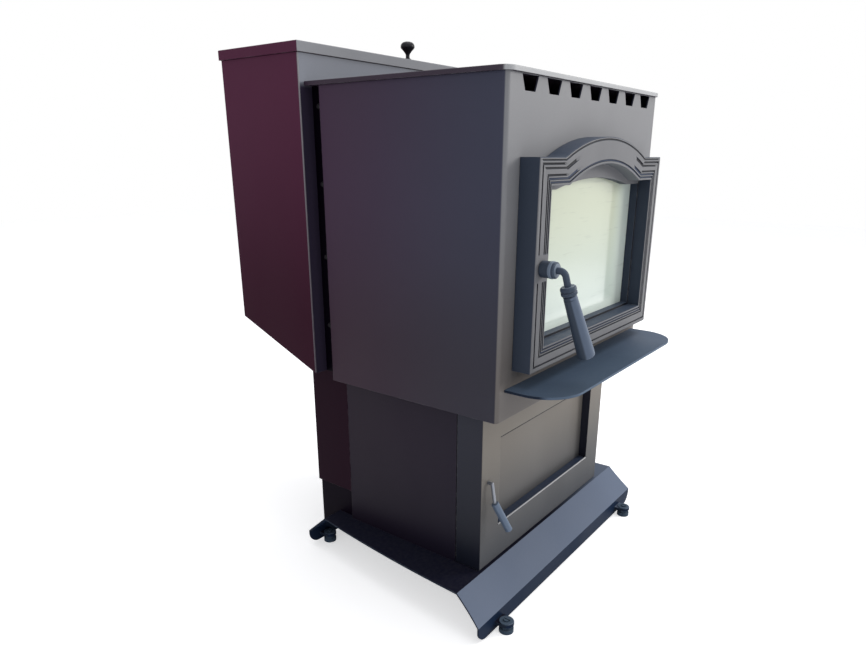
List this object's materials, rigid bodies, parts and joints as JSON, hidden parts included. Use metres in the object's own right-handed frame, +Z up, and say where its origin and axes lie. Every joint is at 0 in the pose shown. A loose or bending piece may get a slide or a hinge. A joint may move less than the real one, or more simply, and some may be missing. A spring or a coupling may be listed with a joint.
{
  "type": "pellet stove",
  "caption": "Free-standing pellet stove with an arched glass loading door, an ash door below, a rear hopper with a hinged lid, blowers, a feed auger and a round flue collar.",
  "frame": {"origin": "on the floor, at the centre of the whole stove's plan, under the levelling feet", "axes": "+Z up, the front with its two doors faces -Y, +X is the right-hand side seen from the front; metres"},
  "size_m": [0.6136, 0.7164, 0.955],
  "materials": {
    "casing_paint": "satin metallic charcoal paint",
    "hopper_paint": "satin dark burgundy-grey paint",
    "base_paint": "satin blue-grey paint",
    "door_casting": "satin metallic grey paint on cast iron",
    "black_sheet": "dark matt paint",
    "cast_dark": "bare cast iron",
    "heat_steel": "heat-proof black paint",
    "zinc_steel": "zinc-plated steel",
    "motor_enamel": "black enamel",
    "window_glass": "clear ceramic glass",
    "rope_seal": "woven glass-fibre rope",
    "grip_resin": "satin moulded resin",
    "knob_resin": "black moulded knob",
    "panel_plastic": "matt black panel"
  },
  "bodies": {
    "stove": {"base_plate": "base_paint", "pedestal_shell": "casing_paint", "blower_plinth": "black_sheet", "rear_cover": "hopper_paint", "casing": "casing_paint", "top_plate": "casing_paint", "front_shelf": "base_paint", "hopper_mount": "black_sheet", "casing_screws": "zinc_steel", "firebox": "heat_steel", "heat_exchanger_tubes": "heat_steel", "burn_pot": "cast_dark", "burn_pot_cover": "cast_dark", "igniter": "zinc_steel", "flame_guide": "cast_dark", "feed_tube": "heat_steel", "feed_gear_motor": "motor_enamel", "hopper_side_left": "hopper_paint", "hopper_side_right": "hopper_paint", "hopper_shell": "hopper_paint", "hopper_bin": "black_sheet", "lid_hinge_pins": "zinc_steel", "door_hinge_brackets": "heat_steel", "ash_hinge_brackets": "heat_steel", "ash_pan": "black_sheet", "exhaust_blower_housing": "black_sheet", "exhaust_motor": "motor_enamel", "flue_spigot": "zinc_steel", "room_air_housing": "black_sheet", "room_air_motor": "motor_enamel", "air_inlet_pipe": "zinc_steel", "power_inlet": "panel_plastic", "control_panel": "panel_plastic"},
    "foot_front_left": {"levelling_foot_front_left": "zinc_steel"},
    "foot_front_right": {"levelling_foot_front_right": "zinc_steel"},
    "foot_rear_left": {"levelling_foot_rear_left": "zinc_steel"},
    "foot_rear_right": {"levelling_foot_rear_right": "zinc_steel"},
    "hopper_lid": {"hopper_lid": "hopper_paint", "lid_gasket": "rope_seal", "lid_knob": "knob_resin"},
    "loading_door": {"loading_door_frame": "door_casting", "door_glass": "window_glass", "glass_retainers": "heat_steel", "door_gasket": "rope_seal"},
    "door_handle": {"door_latch_shaft": "grip_resin", "door_handle_rod": "grip_resin", "door_handle_grip": "grip_resin"},
    "ash_door": {"ash_door_frame": "casing_paint", "ash_door_panel": "casing_paint", "ash_door_gasket": "rope_seal"},
    "ash_handle": {"ash_latch_rod": "zinc_steel", "ash_handle_grip": "grip_resin"},
    "pan_bail": {"ash_pan_bail": "zinc_steel"},
    "feed_auger": {"feed_auger": "zinc_steel"},
    "exhaust_fan": {"exhaust_fan": "zinc_steel"},
    "room_air_fan": {"room_air_fan": "zinc_steel"},
    "inlet_flap": {"air_inlet_flap": "zinc_steel"},
    "feed_dial": {"feed_dial": "panel_plastic"},
    "temperature_dial": {"temperature_dial": "panel_plastic"},
    "mode_switch": {"mode_switch": "panel_plastic"}
  },
  "joints": [
    {"name": "loading_door_hinge", "type": "hinge", "parent": "stove", "child": "loading_door", "pos_m": [0.2345, -0.26882, 0.6], "axis": [0, 0, 1], "range_deg": [0, 110]},
    {"name": "loading_door_latch", "type": "hinge", "parent": "loading_door", "child": "door_handle", "pos_m": [-0.205, -0.29483, 0.603], "axis": [0, 1, 0], "range_deg": [-25, 45]},
    {"name": "ash_door_hinge", "type": "hinge", "parent": "stove", "child": "ash_door", "pos_m": [0.2365, -0.16683, 0.225], "axis": [0, 0, 1], "range_deg": [0, 110]},
    {"name": "ash_door_latch", "type": "hinge", "parent": "ash_door", "child": "ash_handle", "pos_m": [-0.209, -0.20483, 0.241], "axis": [0, 1, 0], "range_deg": [-30, 60]},
    {"name": "hopper_lid_hinge", "type": "hinge", "parent": "stove", "child": "hopper_lid", "pos_m": [0, 0.31998, 0.914], "axis": [-1, 0, 0], "range_deg": [0, 100]},
    {"name": "pan_bail_pivot", "type": "hinge", "parent": "stove", "child": "pan_bail", "pos_m": [0, -0.06882, 0.176], "axis": [1, 0, 0], "range_deg": [0, 85]},
    {"name": "feed_auger_spin", "type": "hinge", "parent": "stove", "child": "feed_auger", "pos_m": [0, 0.13517, 0.516], "axis": [0, 1, 0], "continuous": true},
    {"name": "exhaust_fan_spin", "type": "hinge", "parent": "stove", "child": "exhaust_fan", "pos_m": [0, 0.13517, 0.205], "axis": [0, 1, 0], "continuous": true},
    {"name": "room_air_fan_spin", "type": "hinge", "parent": "stove", "child": "room_air_fan", "pos_m": [0, 0.04818, 0.128], "axis": [1, 0, 0], "continuous": true},
    {"name": "inlet_flap_hinge", "type": "hinge", "parent": "stove", "child": "inlet_flap", "pos_m": [0.13, 0.08588, 0.232], "axis": [-1, 0, 0], "range_deg": [0, 70]},
    {"name": "feed_dial_turn", "type": "hinge", "parent": "stove", "child": "feed_dial", "pos_m": [0.282, 0.22018, 0.762], "axis": [1, 0, 0], "range_deg": [-150, 150]},
    {"name": "temperature_dial_turn", "type": "hinge", "parent": "stove", "child": "temperature_dial", "pos_m": [0.282, 0.22018, 0.708], "axis": [1, 0, 0], "range_deg": [-150, 150]},
    {"name": "mode_switch_rock", "type": "hinge", "parent": "stove", "child": "mode_switch", "pos_m": [0.2785, 0.22018, 0.664], "axis": [0, 1, 0], "range_deg": [-12, 12]},
    {"name": "foot_front_left_turn", "type": "hinge", "parent": "stove", "child": "foot_front_left", "pos_m": [-0.245, -0.27682, 0.01], "axis": [0, 0, 1], "continuous": true},
    {"name": "foot_front_right_turn", "type": "hinge", "parent": "stove", "child": "foot_front_right", "pos_m": [0.245, -0.27682, 0.01], "axis": [0, 0, 1], "continuous": true},
    {"name": "foot_rear_left_turn", "type": "hinge", "parent": "stove", "child": "foot_rear_left", "pos_m": [-0.225, 0.16417, 0.01], "axis": [0, 0, 1], "continuous": true},
    {"name": "foot_rear_right_turn", "type": "hinge", "parent": "stove", "child": "foot_rear_right", "pos_m": [0.225, 0.16417, 0.01], "axis": [0, 0, 1], "continuous": true}
  ]
}
